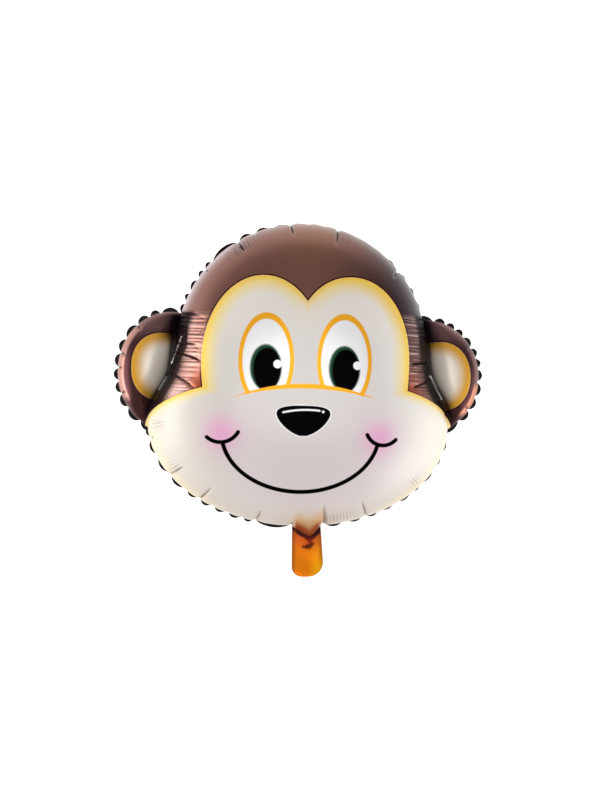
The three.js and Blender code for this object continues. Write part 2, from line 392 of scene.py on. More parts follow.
class MeshMaker:
    """Gathers rings of points and the faces between them."""

    def __init__(self):
        self.points = []
        self.folds = []
        self.faces = []
        self.kinds = []
        self.count = 0

    def ring(self, points):
        """Adds points, whose fourth column, if any, is how deep in a fold they are."""
        self.points.append(points[:, :3])
        self.folds.append(points[:, 3] if points.shape[1] > 3 else np.zeros(len(points)))
        start = self.count
        self.count += len(points)
        return np.arange(start, self.count)

    def face(self, kind, side, *corners):
        """Adds faces of one kind. Their corners run anticlockwise as seen from above."""
        order = corners if side > 0 else corners[::-1]
        self.faces += np.column_stack(order).tolist()
        self.kinds += [kind] * len(order[0])

    def band(self, outer, inner, kind, side):
        """Joins two rings, the inner of which has as many points or half as many."""
        outer_next, inner_next = np.roll(outer, -1), np.roll(inner, -1)
        if len(outer) == len(inner):
            self.face(kind, side, outer, outer_next, inner_next, inner)
            return
        first, second, third = outer[0::2], outer[1::2], np.roll(outer[0::2], -1)
        self.face(kind, side, first, second, inner)
        self.face(kind, side, second, inner_next, inner)
        self.face(kind, side, second, third, inner_next)

    def cap(self, ring, height, kind, side):
        middle = self.ring(np.array([[0, 0, height]], float))
        centres = np.repeat(middle, len(ring))
        self.face(kind, side, ring, np.roll(ring, -1), centres)

    def build(self, name, materials):
        mesh = bpy.data.meshes.new(name)
        points = np.concatenate(self.points) * MM
        mesh.from_pydata(points.tolist(), [], self.faces)
        for material in materials:
            mesh.materials.append(material)
        mesh.polygons.foreach_set("material_index", self.kinds)
        mesh.attributes.new("fold", "FLOAT", "POINT").data.foreach_set(
            "value", np.concatenate(self.folds)
        )
        mesh.update()
        thing = bpy.data.objects.new(name, mesh)
        bpy.context.scene.collection.objects.link(thing)
        return thing


FILM, FLANGE = 0, 1


def build_lobe(name, lobe, materials):
    maker = MeshMaker()
    spokes = make_spokes(lobe)
    rises, places = ring_rises(lobe)
    edges = {}
    for side in (1, -1):
        seam_points = film_ring(lobe, spokes, 0.0, side)
        outer = None
        for row in range(FLANGE_RINGS, 0, -1):
            points = flange_ring(lobe, spokes, row / FLANGE_RINGS, seam_points, side)
            ring = maker.ring(points)
            if outer is None:
                edges[side] = ring
            else:
                maker.band(outer, ring, FLANGE, side)
            outer = ring
        ring = maker.ring(seam_points)
        maker.band(outer, ring, FLANGE, side)
        outer, step = ring, 1
        # Past each place up the film, rings have every second, fourth or eighth spoke.
        changes = lobe["steps"] if side > 0 else lobe["back_steps"]
        for rise, place in zip(rises[1:], places[1:]):
            wanted = max([1] + [new for start, new in changes if place > start])
            step = min(wanted, 2 * step)
            ring = maker.ring(film_ring(lobe, thin_out(spokes, step), rise, side))
            maker.band(outer, ring, FILM, side)
            outer = ring
        first = thin_out(spokes, len(spokes["angle"]))
        crown = film_ring(lobe, first, math.radians(TOP_RISE), side)
        maker.cap(outer, crown[0, 2], FILM, side)
    above, below = edges[1], edges[-1]
    maker.face(FLANGE, 1, above, below, np.roll(below, -1), np.roll(above, -1))
    return maker.build(name, materials)


# The film's relief, beyond the puckers at the weld

def pleats(place, pitch, roundness=0.6):
    """Round pillows between sharp creases, one for each pitch: 0 on a pillow, 1 in a crease."""
    return 1 - np.abs(np.sin(np.pi * place / pitch)) ** roundness


def window(place, rise, fall):
    """1 between a smooth rise and a smooth fall, and 0 beyond them."""
    return smooth(place, *rise) * (1 - smooth(place, *fall))


# Wrinkles fill a window on each flank: up the head, out from its middle and up from the weld.
FLANK_PITCH = 4.9
FLANK_DEPTH = 2.1
FLANK_WAVES = ((1.4, 0.21, 1), (0.8, 0.53, 0))
FLANK_UP = ((-22, 2), (74, 88))
FLANK_OUT = (95, 118)
FLANK_AWAY = ((20, 40), (82, 104))

# Each crossing fold has its side, its height at CROSSING_OUT, its slope and where it starts.
CROSSING_DEPTH = 3.4
CROSSING_WIDTH = 2.2
CROSSING_OUT = 140
CROSSING_AWAY = (14, 30)
CROSSINGS = (
    (-1, 79.5, 0.15, 130), (-1, 43, 0.1, 133), (-1, 28, 0.35, 125), (-1, -4.5, 0.56, 132),
    (1, 85, 0.3, 140), (1, 31.5, 0.17, 127), (1, 4.5, 0.4, 131),
)

# Fine ruches: each group has its middle direction and its spread, in degrees like the pitch.
RUCHE_PITCH = 1.4
RUCHE_DEPTH = 1.6
RUCHE_ROUNDNESS = 0.9
RUCHE_AWAY = ((30, 42), (52, 74))
RUCHES = ((116, 7), (77, 3), (198, 3), (215, 4), (288, 7), (321.5, 3))


def head_relief(x, y, away):
    """Wrinkles that the ears pull in the head's flanks, and fine ruches near some puckers."""
    uneven = y + wave(FLANK_WAVES[0], y) + wave(FLANK_WAVES[1], y)
    beside_ear = window(y, *FLANK_UP) * smooth(np.abs(x), *FLANK_OUT)
    strength = 0.55 + 0.25 * smooth(y, 30, 50) + 0.2 * np.sin(0.37 * y + 0.5)
    wrinkled = beside_ear * window(away, *FLANK_AWAY)
    inward = FLANK_DEPTH * strength * wrinkled * pleats(uneven, FLANK_PITCH)
    for side, place, slope, end in CROSSINGS:
        out = side * x
        off = np.abs(y - place - slope * (out - CROSSING_OUT)) / CROSSING_WIDTH
        fold = np.clip(1 - off, 0, 1) ** 1.5
        shown = smooth(away, *CROSSING_AWAY) * smooth(out, end - 4, end + 8)
        inward += CROSSING_DEPTH * fold * shown
    degrees = np.degrees(np.arctan2(y, x)) % 360
    for middle, spread in RUCHES:
        near = np.exp(-(((degrees - middle) / spread) ** 2)) * window(away, *RUCHE_AWAY)
        inward += RUCHE_DEPTH * near * pleats(degrees, RUCHE_PITCH, RUCHE_ROUNDNESS)
    return inward


def head_flange_share(angle):
    """How much of the head's flange shows from the front: it curls back over the crown."""
    degrees = np.degrees(angle) % 360
    crown = window(degrees, (54, 66), (98, 108))
    right = smooth(np.cos(angle), 0.1, 0.7)
    upper_left = window(degrees, (100, 106), (150, 160))
    hidden = HIDDEN_OVER_CROWN * crown + HIDDEN_ON_RIGHT * right
    return FLANGE_SHOWN - hidden + MORE_ON_UPPER_LEFT * upper_left


def from_line(x, y, start, end):
    """The distance from a straight line between two points."""
    run, rise = end[0] - start[0], end[1] - start[1]
    share = ((x - start[0]) * run + (y - start[1]) * rise) / (run * run + rise * rise)
    share = np.clip(share, 0, 1)
    return np.hypot(x - start[0] - share * run, y - start[1] - share * rise)


def ear_shape(ear, centre, ridge_line):
    """The ear sinks towards the valley where it meets the head, behind a low ridge."""
    def shape(x, y, z):
        x, y = x + centre[0], y + centre[1]
        dip = VALLEY_DIP * np.exp(-((np.maximum(past_head(x, y), 0) / VALLEY_WIDTH) ** 2))
        top, middle, bottom = ridge_line
        away = np.minimum(from_line(x, y, top, middle), from_line(x, y, middle, bottom))
        ridge = RIDGE_HEIGHT * np.exp(-((away / RIDGE_WIDTH) ** 2))
        return z * (1 - dip) + ridge * np.clip(z / ear["swell"], 0, 1)
    return shape


def build_head(materials):
    lobe = make_lobe(
        head_share, HEAD_SWELL, HEAD_CREASES,
        fine_spans=((-8, 42), (138, 188)), relief=head_relief, rest_radius=REST_RADIUS,
        flange_share=head_flange_share, throat=throat_reach, gaps=(1.85, 5.4),
        steps=((94, 2), (135, 4), (170, 8)), back_steps=((18, 2), (90, 4), (150, 8)),
    )
    return build_lobe("head", lobe, materials)


def build_ear(name, ear, creases, ridge_line, materials):
    centre = ear_centre(ear)
    lobe = make_lobe(
        lambda x, y: ear_share(ear, x, y), ear["swell"], creases,
        shape=ear_shape(ear, centre, ridge_line), gaps=(1.6, 2),
        flange_gap=EAR_FLANGE_GAP, crease_depth=EAR_CREASE_DEPTH,
        pucker=(EAR_PUCKER_DEPTH, EAR_PUCKER_REACH),
        parts=EAR_PARTS, steps=((26, 2), (60, 4)), back_steps=((10, 2), (30, 4)),
    )
    built = build_lobe(name, lobe, materials)
    built.data.transform(Matrix.Translation((centre[0] * MM, centre[1] * MM, 0)))
    return built


def neck_matrix():
    """The neck's frame has its own +Y towards the chin and its origin on the head's rim."""
    angle = -math.acos(NECK_OFFSET / float(head_reach(-math.pi / 2)))
    rim = float(head_reach(angle))
    root = Vector((rim * math.cos(angle) * MM, rim * math.sin(angle) * MM, 0))
    return Matrix.Translation(root) @ Matrix.Rotation(math.radians(NECK_LEAN), 4, "Z")


def neck_edge(y, end_half, radius):
    """How far an edge of the neck is from its middle line: the end has round corners."""
    corner = radius - NECK_LENGTH
    straight = np.interp(y, (corner, 0), (end_half, NECK_ROOT_WIDTH / 2))
    below = np.clip((corner - y) / radius, 0, 1)
    rounded = end_half - radius + radius * np.sqrt(1 - below ** 2)
    return float(np.where(y > corner, straight, rounded))


def build_neck(materials):
    """Two flat films, slightly parted along the middle and creased at the root."""
    maker = MeshMaker()
    rows = np.linspace(NECK_TUCK, -NECK_LENGTH, NECK_ROWS)
    across = np.sin(np.linspace(-math.pi / 2, math.pi / 2, NECK_COLUMNS))
    rings = []
    for y in rows:
        left = neck_edge(y, NECK_END_WIDTH / 2 - NECK_SWING, NECK_CORNERS[0])
        right = neck_edge(y, NECK_END_WIDTH / 2 + NECK_SWING, NECK_CORNERS[1])
        x = np.where(across < 0, across * left, across * right)
        # Folds fill the root and die away along the neck, whose films curl a little.
        root = math.exp(-(max(0, NECK_TUCK - y) / 30) ** 2)
        folds = root * (0.9 * np.cos(5.2 * across + 0.6) + 0.5 * np.cos(11 * across))
        curl = 0.7 * np.sin(0.12 * y + 1.5 * across)
        middle = (folds + curl) * (1 - across ** 4)
        open_by = NECK_THICKNESS / 2 + (0.5 + 0.9 * root) * (1 - across ** 2)
        top = np.column_stack([x, np.full_like(x, y), middle + open_by])
        bottom = np.column_stack([x, np.full_like(x, y), middle - open_by])[::-1]
        rings.append(maker.ring(np.concatenate([top, bottom])))
    for upper, lower in zip(rings, rings[1:]):
        maker.face(FILM, 1, upper, lower, np.roll(lower, -1), np.roll(upper, -1))
    size = len(across)
    for ring, side in ((rings[0], 1), (rings[-1], -1)):
        top, bottom = ring[:size], ring[size:][::-1]
        maker.face(FILM, side, top[:-1], top[1:], bottom[1:], bottom[:-1])
    built = maker.build("neck", materials)
    built.data.transform(neck_matrix())
    return built


def weld(pieces, name):
    """Joins closed pieces into one sealed body."""
    body = pieces[0]
    for piece in pieces[1:]:
        join = body.modifiers.new("weld", "BOOLEAN")
        join.operation = "UNION"
        join.solver = "MANIFOLD"
        join.object = piece
        bpy.context.view_layer.objects.active = body
        bpy.ops.object.modifier_apply(modifier=join.name)
        bpy.data.objects.remove(piece)
    body.name = body.data.name = name
    return body


# Fields: numbers that vary over the surface, worked out by Math nodes

def plug(tree, value, socket):
    """Links a field to a socket, or sets the socket to a plain value."""
    if isinstance(value, Field):
        tree.links.new(value.socket, socket)
    else:
        socket.default_value = value


def calc(tree, operation, *values):
    node = tree.nodes.new("ShaderNodeMath")
    node.operation = operation
    for value, socket in zip(values, node.inputs):
        plug(tree, value, socket)
    return Field(tree, node.outputs[0])


class Field:
    """Arithmetic on shader sockets: each operation adds one Math node."""

    def __init__(self, tree, socket):
        self.tree = tree
        self.socket = socket

    def __add__(self, other):
        return calc(self.tree, "ADD", self, other)

    __radd__ = __add__

    def __sub__(self, other):
        return calc(self.tree, "SUBTRACT", self, other)

    def __rsub__(self, other):
        return calc(self.tree, "SUBTRACT", other, self)

    def __mul__(self, other):
        return calc(self.tree, "MULTIPLY", self, other)

    __rmul__ = __mul__

    def __truediv__(self, other):
        return calc(self.tree, "DIVIDE", self, other)

    def __pow__(self, other):
        return calc(self.tree, "POWER", self, other)

    def __abs__(self):
        return calc(self.tree, "ABSOLUTE", self)


def lowest(first, *others):
    for other in others:
        first = calc(first.tree, "MINIMUM", first, other)
    return first


def highest(first, *others):
    for other in others:
        first = calc(first.tree, "MAXIMUM", first, other)
    return first


def clamp(field):
    return lowest(highest(field, 0), 1)


def ramp(field, start, end):
    """0 up to start, 1 from end on, and a smooth rise between them."""
    share = clamp((field - start) / (end - start))
    return share * share * (3 - 2 * share)


def inside(past, soft=0.45):
    """1 inside a shape and 0 outside it, from the distance past its edge."""
    return clamp(0.5 - past / (2 * soft))


def sine(field):
    return calc(field.tree, "SINE", field)


def glow(distance, radius):
    """Falls off smoothly from 1 at no distance."""
    return calc(distance.tree, "POWER", math.e, -1 * (distance / radius) ** 2)


def length(x, y):
    return calc(x.tree, "SQRT", x * x + y * y)


def disc(x, y, centre, radius):
    """The distance past a disc's edge."""
    return length(x - centre[0], y - centre[1]) - radius


def oval(x, y, centre, half_widths, half_heights, power=2.0):
    """The distance past an oval's edge. It may differ left and right, and below and above."""
    dx, dy = x - centre[0], y - centre[1]
    left, right = half_widths
    down, up = half_heights
    across = highest(dx / right, dx / -left)
    along = highest(dy / up, dy / -down)
    share = (across ** power + along ** power) ** (1 / power)
    away = length(dx, dy)
    return away - away / share


def beside(x, y, start, end):
    """How far a point is to the left of the line from start to end."""
    run, rise = end[0] - start[0], end[1] - start[1]
    return ((y - start[1]) * run - (x - start[0]) * rise) / math.hypot(run, rise)


def capsule(x, y, start, end, width):
    """The distance past a straight stroke with round ends."""
    run, rise = end[0] - start[0], end[1] - start[1]
    size = run * run + rise * rise
    share = clamp(((x - start[0]) * run + (y - start[1]) * rise) / size)
    return length(x - start[0] - share * run, y - start[1] - share * rise) - width / 2


def arc_stroke(x, y, centre, radius, start, end, width):
    """The distance past a round-ended stroke along a circle, between two angles."""
    dx, dy = x - centre[0], y - centre[1]
    parts = [abs(length(dx, dy) - radius) - width / 2]
    caps = []
    for degrees, way in ((start, -1), (end, 1)):
        angle = math.radians(degrees)
        cos, sin = math.cos(angle), math.sin(angle)
        parts.append((dy * cos - dx * sin) * way)
        cap = (centre[0] + radius * cos, centre[1] + radius * sin)
        caps.append(disc(x, y, cap, width / 2))
    return lowest(highest(*parts), *caps)


def ink(red, green, blue):
    """A colour as a screen shows it, from 0 to 255, made linear."""
    shares = [value / 255 for value in (red, green, blue)]
    return [s / 12.92 if s <= 0.04045 else ((s + 0.055) / 1.055) ** 2.4 for s in shares] + [1]


class PrintAndPaintedLight:
    """Inks, and painted light and shade, laid over each other, each through its mask."""

    def __init__(self, tree, base):
        self.tree = tree
        *colour, self.metal = base
        self.colour = ink(*colour)

    def lay(self, mask, tint):
        red, green, blue, *metal = tint
        node = self.tree.nodes.new("ShaderNodeMix")
        node.data_type = "RGBA"
        for place, value in ((0, mask), (6, self.colour), (7, ink(red, green, blue))):
            plug(self.tree, value, node.inputs[place])
        self.colour = Field(self.tree, node.outputs[2])
        if metal:
            self.metal = self.metal + mask * (metal[0] - self.metal)


# The print's places, and those of the painted shade and highlights, in the print's own turned
# frame
FACE_LOBES = (
    dict(centre=(-50.5, 27), half_widths=(72, 72), half_heights=(132, 101.5), power=2),
    dict(centre=(56, 31), half_widths=(72, 69.5), half_heights=(132, 97), power=2.1),
)
BROW_BRIDGE = dict(centre=(2.5, 6), half_widths=(84, 84), half_heights=(100, 86))
MUZZLE_PATCH = dict(centre=(0, -56), half_widths=(193, 193), half_heights=(400, 65))
FACE_CORNERS = ((-122, -2), (121, -6))
OUTLINE_WIDTH = 2.2
EYES = (
    dict(centre=(-46.4, 27), pupil=(-47, 19), glint=(-33.1, 22.8)),
    dict(centre=(45.6, 27), pupil=(45.4, 18.5), glint=(60.8, 22.6)),
)
EYE_HALF = (32.6, 56.5)
EYE_STROKE = (4.9, 7.6)
PUPIL_HALF = (18.4, 27)
GLINT_RADIUS = 5
CHEEK_LINE_HALF = 85
CHEEK_LINE_TOP = 0.5
CHEEK_LINE_ENDS = -16.5
CHEEK_LINE_WIDTH = 5.8
NOSE_TOP = dict(centre=(-1.8, -35), half_widths=(31.8, 31.8), half_heights=(26, 9.8))
NOSE_BOTTOM = dict(centre=(-1.8, -35), half_widths=(31.8, 31.8), half_heights=(26.6, 26))
NOSE_LINE = dict(centre=(2.7, -156.2), radius=126, start=83.5, end=103, width=2)
NOSE_DOT = (21.3, -32.2)
SMILE = dict(centre=(-4.2, -58), half_widths=(93, 93), half_heights=(70, 70))
SMILE_TOP = -71
STROKE = 5.2
DIMPLES = (
    dict(centre=(-99, -45.8), radius=24.2, start=230, end=331),
    dict(centre=(94, -49.5), radius=21.5, start=205, end=317),
)
BLUSHES = ((-97, -60), (89, -63))
BLUSH_RADIUS = 21
# Painted highlights along the ears' crease ridges
CREASE_HIGHLIGHTS = (
    ((-148, 56), (-161, 24)), ((-167, 7), (-176, -9)),
    ((163, 14), (172, -4)), ((172, -4), (178, -15)),
)
# Bands of painted shade at each flank's foot, beside the valley
VALLEY_SHADE_BANDS = (
    dict(edge=-140.5, start=(-143, 38), end=(-181, -28)),
    dict(edge=141.5, start=(168, -20), end=(142, 30)),
)
EAR_PATCHES = (
    dict(centre=(-170, 19), half_widths=(39.5, 60), half_heights=(42, 42), power=2.3),
    dict(centre=(175, 13), half_widths=(60, 38), half_heights=(43.5, 43.5), power=2.1),
)

# How far up the film the ears' print, the painted shade of the valleys beside them and the
# painted crease highlights go
EAR_TOP = 60

# Painted shade of a crumpled spot on the neck, in the neck's frame: centres, half widths and half
# heights
CRUMPLE_SHADES = (((-2, -26.5), 4.2, 2.2), ((3, -26), 4.5, 3.4), ((7, -23), 3.2, 2.6))

# The inks, and the colours of painted shade, highlights and reflections: red, green and blue on a
# screen, and how metallic each looks if it changes that
BROWN = (130, 90, 82, 0.85)
COOL_BROWN = (42, 31, 36)
RIM_REFLECTION_GREY = (152, 140, 136)
RIM_REFLECTION_PALE = (206, 184, 188)
CROWN_HIGHLIGHT = (150, 110, 84)
FOLD_SHADE_DARK = (44, 26, 28)
FOLD_SHADE_PALE = (84, 64, 58)
BLACK = (1, 0, 1, 0.1)
WHITE = (228, 228, 229, 0.2)
CREAM = (217, 211, 207, 0.06)
LOW_CREAM_SHADE = (210, 197, 198, 0.06)
BROW_CREAM_LIGHT = (234, 226, 216, 0.06)
MIDDLE_CREAM_SHADE = (204, 204, 202, 0.06)
SIDE_CREAM_LIGHT = (230, 224, 206, 0.06)
RIGHT_CREAM_LIGHT = (238, 234, 228, 0.06)
LEFT_CREAM_SHADE = (206, 200, 190, 0.06)
CHIN_CREAM = (194, 186, 170, 0.06)
RIM_CREAM = (236, 212, 164, 0.06)
OUTLINE_BROWN = (66, 22, 8, 0.2)
SOFT_GOLD = (238, 210, 112, 0.12)
BRIGHT_GOLD = (234, 184, 62, 0.12)
RIM_GOLD = (240, 196, 70, 0.12)
THROAT_TAN = (196, 156, 106, 0.12)
BLUSH_PINK = (236, 160, 208, 0.25)
EYE_ORANGE = (236, 166, 42, 0.25)
PUPIL_GREEN = (40, 74, 56, 0.2)
CHEEK_ORANGE = (236, 160, 40, 0.25)
EAR_SHADED_BROWN = (74, 45, 47, 0.85)
EAR_TOP_BROWN = (150, 112, 112, 0.85)
LEFT_EAR_HIGHLIGHT = (180, 132, 120, 0.85)
RIGHT_EAR_DIM_HIGHLIGHT = (140, 104, 100, 0.85)
RIGHT_EAR_HIGHLIGHT = (196, 130, 100, 0.85)
PATCH_OUTLINE = (62, 34, 34, 0.6)
PATCH_CREAM = (222, 212, 198, 0.12)
PATCH_GOLD = (204, 146, 18, 0.12)
VALLEY_SHADE_BLACK = (12, 6, 12, 0.05)
RIDGE_HIGHLIGHT = (222, 216, 212, 0.8)
SALMON_HIGHLIGHT = (206, 132, 114, 0.8)
DULL_SALMON_SHADE = (106, 70, 68, 0.8)
PALE_SALMON_HIGHLIGHT = (222, 184, 176, 0.7)
LEFT_CREST_HIGHLIGHT = (232, 186, 170, 0.7)
RIGHT_CREST_HIGHLIGHT = (230, 200, 194, 0.7)
CORNER_RED = (160, 72, 42, 0.8)
PALE_PINK_HIGHLIGHT = (228, 192, 184, 0.6)
BAND_SHADE_BROWN = (50, 34, 38, 0.2)
BAND_SHADE_BLACK = (10, 5, 9, 0.0)
NECK_ORANGE = (214, 116, 16, 0.2)
NECK_AMBER = (216, 138, 14, 0.2)
NECK_YELLOW = (236, 168, 18, 0.2)
NECK_EDGE_BROWN = (118, 66, 26, 0.2)
NECK_ROOT_BROWN = (156, 56, 30, 0.25)
NECK_RED = (176, 44, 30, 0.2)
CHIN_TAN = (206, 158, 98, 0.2)
CHIN_BROWN = (146, 62, 24, 0.2)
SEAM_BLACK = (34, 14, 22, 0.15)
CRUMPLE_SHADE_BROWN = (52, 20, 14, 0.2)


def place_fields(tree):
    """The head's own coordinates in millimetres, from the surface's place."""
    texture = tree.nodes.new("ShaderNodeTexCoord")
    split = tree.nodes.new("ShaderNodeSeparateXYZ")
    tree.links.new(texture.outputs["Object"], split.inputs[0])
    return [
        (Field(tree, split.outputs[axis]) - home[axis]) / MM
        for axis in range(3)
    ]


def turned(x, y, degrees):
    """Coordinates in a frame turned anticlockwise."""
    cos, sin = math.cos(math.radians(degrees)), math.sin(math.radians(degrees))
    return x * cos + y * sin, y * cos - x * sin


def head_past(x, y):
    """The distance past the head's outline, as nodes."""
    up = y + MUZZLE_CENTRE_DOWN
    skull = length(x, y - SKULL_CENTRE_UP) / SKULL_RADIUS
    muzzle = length(x / MUZZLE_HALF_WIDTH, highest(up / MUZZLE_RISE, up / -MUZZLE_DEPTH))
    share = (skull ** -OUTLINE_BLEND + muzzle ** -OUTLINE_BLEND) ** (-1 / OUTLINE_BLEND)
    return (share - 1) * SKULL_RADIUS


def print_and_shade_face(paint, x, y, front):
    """The face: a cream patch with a golden edge, eyes, nose, smile and blushes."""
    brow = lowest(*[oval(x, y, **lobe) for lobe in (*FACE_LOBES, BROW_BRIDGE)])
    muzzle = highest(oval(x, y, **MUZZLE_PATCH), y - 60)
    face = lowest(brow, muzzle)
    shown = inside(face) * front
    line = ramp(y, 45, 95)
    for corner in FACE_CORNERS:
        line = line + glow(length(x - corner[0], y - corner[1]), 24) * 0.8
    line = lowest(line + 0.12, 1)
    paint.lay(inside(face - OUTLINE_WIDTH) * line * front, OUTLINE_BROWN)
    paint.lay(shown, CREAM)
    # Painted shade and light on the cream: darker low down, in the middle and on the left,
    # lighter over the brow, at the sides and on the right.
    paint.lay((1 - ramp(y, -130, 30)) * shown * 0.6, LOW_CREAM_SHADE)
    paint.lay(ramp(y, 35, 80) * shown * 0.5, BROW_CREAM_LIGHT)
    paint.lay(glow(length(x, y - 22), 52) * shown * 0.35, MIDDLE_CREAM_SHADE)
    paint.lay(ramp(abs(x), 95, 175) * shown * 0.5, SIDE_CREAM_LIGHT)
    paint.lay(ramp(x, 60, 130) * shown * 0.4, RIGHT_CREAM_LIGHT)
    paint.lay(ramp(x, -60, -110) * shown * 0.5, LEFT_CREAM_SHADE)

    # The golden edge is strongest over the brow and fades down the muzzle.
    notch = glow(length(x - 2.5, y - 82), 21)
    brow_edge = ramp(face, -25, -3) * ramp(y, -60, 0) * (1 - 0.9 * notch) * shown
    paint.lay(brow_edge * 0.8, SOFT_GOLD)
    bright = brow_edge * ramp(x, 20, 100) * ramp(y, 40, 105)
    paint.lay(bright * 0.5, BRIGHT_GOLD)
    rim_gold = ramp(face, -9, -1) * ramp(y, -110, -30) * (1 - 0.5 * notch) * shown
    paint.lay(rim_gold * 0.75, RIM_GOLD)

    # The muzzle is duller at the chin, warmer at its rim and tan over the neck.
    beyond = head_past(x, y)
    chin = ramp(beyond, -45, -6) * (1 - ramp(y, -140, -90)) * shown
    paint.lay(chin * 0.6, CHIN_CREAM)
    warm = ramp(beyond, -20, -2) * ramp(abs(x), 60, 140) * (1 - ramp(y, -70, -40)) * shown
    paint.lay(warm * 0.4, RIM_CREAM)
    throat = glow(length(x - 14, (y + 178) * 1.3), 30) * shown
    paint.lay(throat * 0.6, THROAT_TAN)

    for centre in BLUSHES:
        blush = glow(length(x - centre[0], y - centre[1]), BLUSH_RADIUS)
        paint.lay(blush * shown * 0.75, BLUSH_PINK)
    print_eyes(paint, x, y, shown)
    print_nose(paint, x, y, shown)
    print_smile(paint, x, y, shown)


def cheek_arc(x, rise):
    """The height of the cheek line, or of its lower edge where rise is less."""
    across = clamp(abs(x) / CHEEK_LINE_HALF)
    return CHEEK_LINE_ENDS + (1 - across ** 2) * rise


def print_eyes(paint, x, y, shown):
    rise = CHEEK_LINE_TOP - CHEEK_LINE_ENDS
    above = cheek_arc(x, rise)
    below = cheek_arc(x, rise - CHEEK_LINE_WIDTH)
    over_cheek = inside(above - CHEEK_LINE_WIDTH / 2 - y) * shown
    for eye in EYES:
        half_x, half_y = EYE_HALF
        outer = oval(x, y, eye["centre"], (half_x, half_x), (half_y, half_y))
        white_x, white_y = half_x - EYE_STROKE[0], half_y - EYE_STROKE[1]
        white = oval(x, y, eye["centre"], (white_x, white_x), (white_y, white_y))
        paint.lay(inside(outer) * over_cheek, EYE_ORANGE)
        paint.lay(inside(white) * over_cheek, WHITE)
        pupil_x, pupil_y = PUPIL_HALF
        place = eye["pupil"]
        green = oval(x, y, place, (pupil_x, pupil_x), (pupil_y, pupil_y))
        paint.lay(inside(green, 1.2) * over_cheek, PUPIL_GREEN)
        black = oval(
            x, y, (place[0] + 1.4, place[1] - 1.2),
            (pupil_x - 2.2, pupil_x - 1.4), (pupil_y, pupil_y - 2.6),
        )
        paint.lay(inside(black, 1.4) * over_cheek, BLACK)
        glint = disc(x, y, eye["glint"], GLINT_RADIUS)
        paint.lay(inside(glint) * over_cheek, WHITE)
    line = highest(y - above, below - y, abs(x) - CHEEK_LINE_HALF)
    paint.lay(inside(line) * shown, CHEEK_ORANGE)


def print_nose(paint, x, y, shown):
    upper = oval(x, y, power=2.6, **NOSE_TOP)
    wide = highest(upper, oval(x, y, power=1.55, **NOSE_BOTTOM))
    paint.lay(inside(wide - 1.1) * shown, WHITE)
    paint.lay(inside(wide) * shown, BLACK)
    shine = lowest(arc_stroke(x, y, **NOSE_LINE), disc(x, y, NOSE_DOT, 1.5))
    paint.lay(inside(shine, 0.6) * shown, WHITE)


def print_smile(paint, x, y, shown):
    smile = abs(oval(x, y, **SMILE)) - STROKE / 2
    strokes = [highest(smile, y - SMILE_TOP)]
    for dimple in DIMPLES:
        strokes.append(arc_stroke(x, y, width=STROKE - 0.4, **dimple))
    paint.lay(inside(lowest(*strokes)) * shown, BLACK)


def ear_past(ear, x, y):
    """The distance past an ear's outline, in the print's frame."""
    centre = turned(*ear_centre(ear), PRINT_TURN)
    dx, dy = turned(x - centre[0], y - centre[1], ear["tilt"] - PRINT_TURN)
    half_width, half_height = ear["half_width"], ear["half_height"]
    return oval(dx, dy, (0, 0), (half_width, half_width), (half_height, half_height))


def print_and_shade_ears(paint, x, y, z, front):
    """Golden inner ears, with painted shade on their brown and in the valley beside the head, and
    painted highlights on their outer rims and crease ridges.
    """
    beyond = head_past(x, y)
    ear = inside(-1 * beyond, 2) * front
    # Painted shade: the ears' brown is darker than the head's.
    paint.lay(ear * 0.9, EAR_SHADED_BROWN)
    paint.lay(ear * ramp(y, 45, 72) * 0.5, EAR_TOP_BROWN)
    # Painted highlights along the outer rims: pale on the left ear, dim above and strong below on
    # the right.
    left = ramp(ear_past(LEFT_EAR, x, y), -10.5, -8) * ramp(x, -186, -196)
    left = left * ramp(y, -26, -14) * (1 - ramp(y, 62, 72))
    paint.lay(left * ear * 0.85, LEFT_EAR_HIGHLIGHT)
    right = ramp(ear_past(RIGHT_EAR, x, y), -10, -7.5) * ramp(x, 188, 200) * ear
    right = right * ramp(y, -38, -28)
    paint.lay(right * (1 - ramp(y, 40, 56)) * 0.5, RIGHT_EAR_DIM_HIGHLIGHT)
    paint.lay(right * (1 - ramp(y, -2, 8)) * 0.8, RIGHT_EAR_HIGHLIGHT)
    on_ear = inside(z - EAR_TOP, 1) * front
    for patch in EAR_PATCHES:
        past = highest(oval(x, y, **patch), -2 - beyond)
        shown = inside(past) * on_ear
        paint.lay(inside(past - OUTLINE_WIDTH) * on_ear, PATCH_OUTLINE)
        paint.lay(shown, PATCH_CREAM)
        gold = ramp(oval(x, y, **patch), -21, -3) * shown
        paint.lay(gold * 0.95, PATCH_GOLD)
    low = inside(z - EAR_TOP, 6) * front
    at_ear = ramp(abs(x), 120, 138) * ramp(y, -66, -30) * low
    # Painted shade darkening into the valley beside the head.
    for radius, part in ((7, 1 - ramp(y, 80, 90)), (13, ramp(y, 46, 62) * inside(y - 86, 2))):
        valley = lowest(glow(highest(beyond, 0), radius) * 1.3, 1)
        paint.lay(valley * part * at_ear * 0.95, VALLEY_SHADE_BLACK)
    # Painted highlights along the crease ridges.
    for start, end in CREASE_HIGHLIGHTS:
        line = inside(capsule(x, y, start, end, 1.3), 0.6) * low
        paint.lay(line * 0.9, RIDGE_HIGHLIGHT)


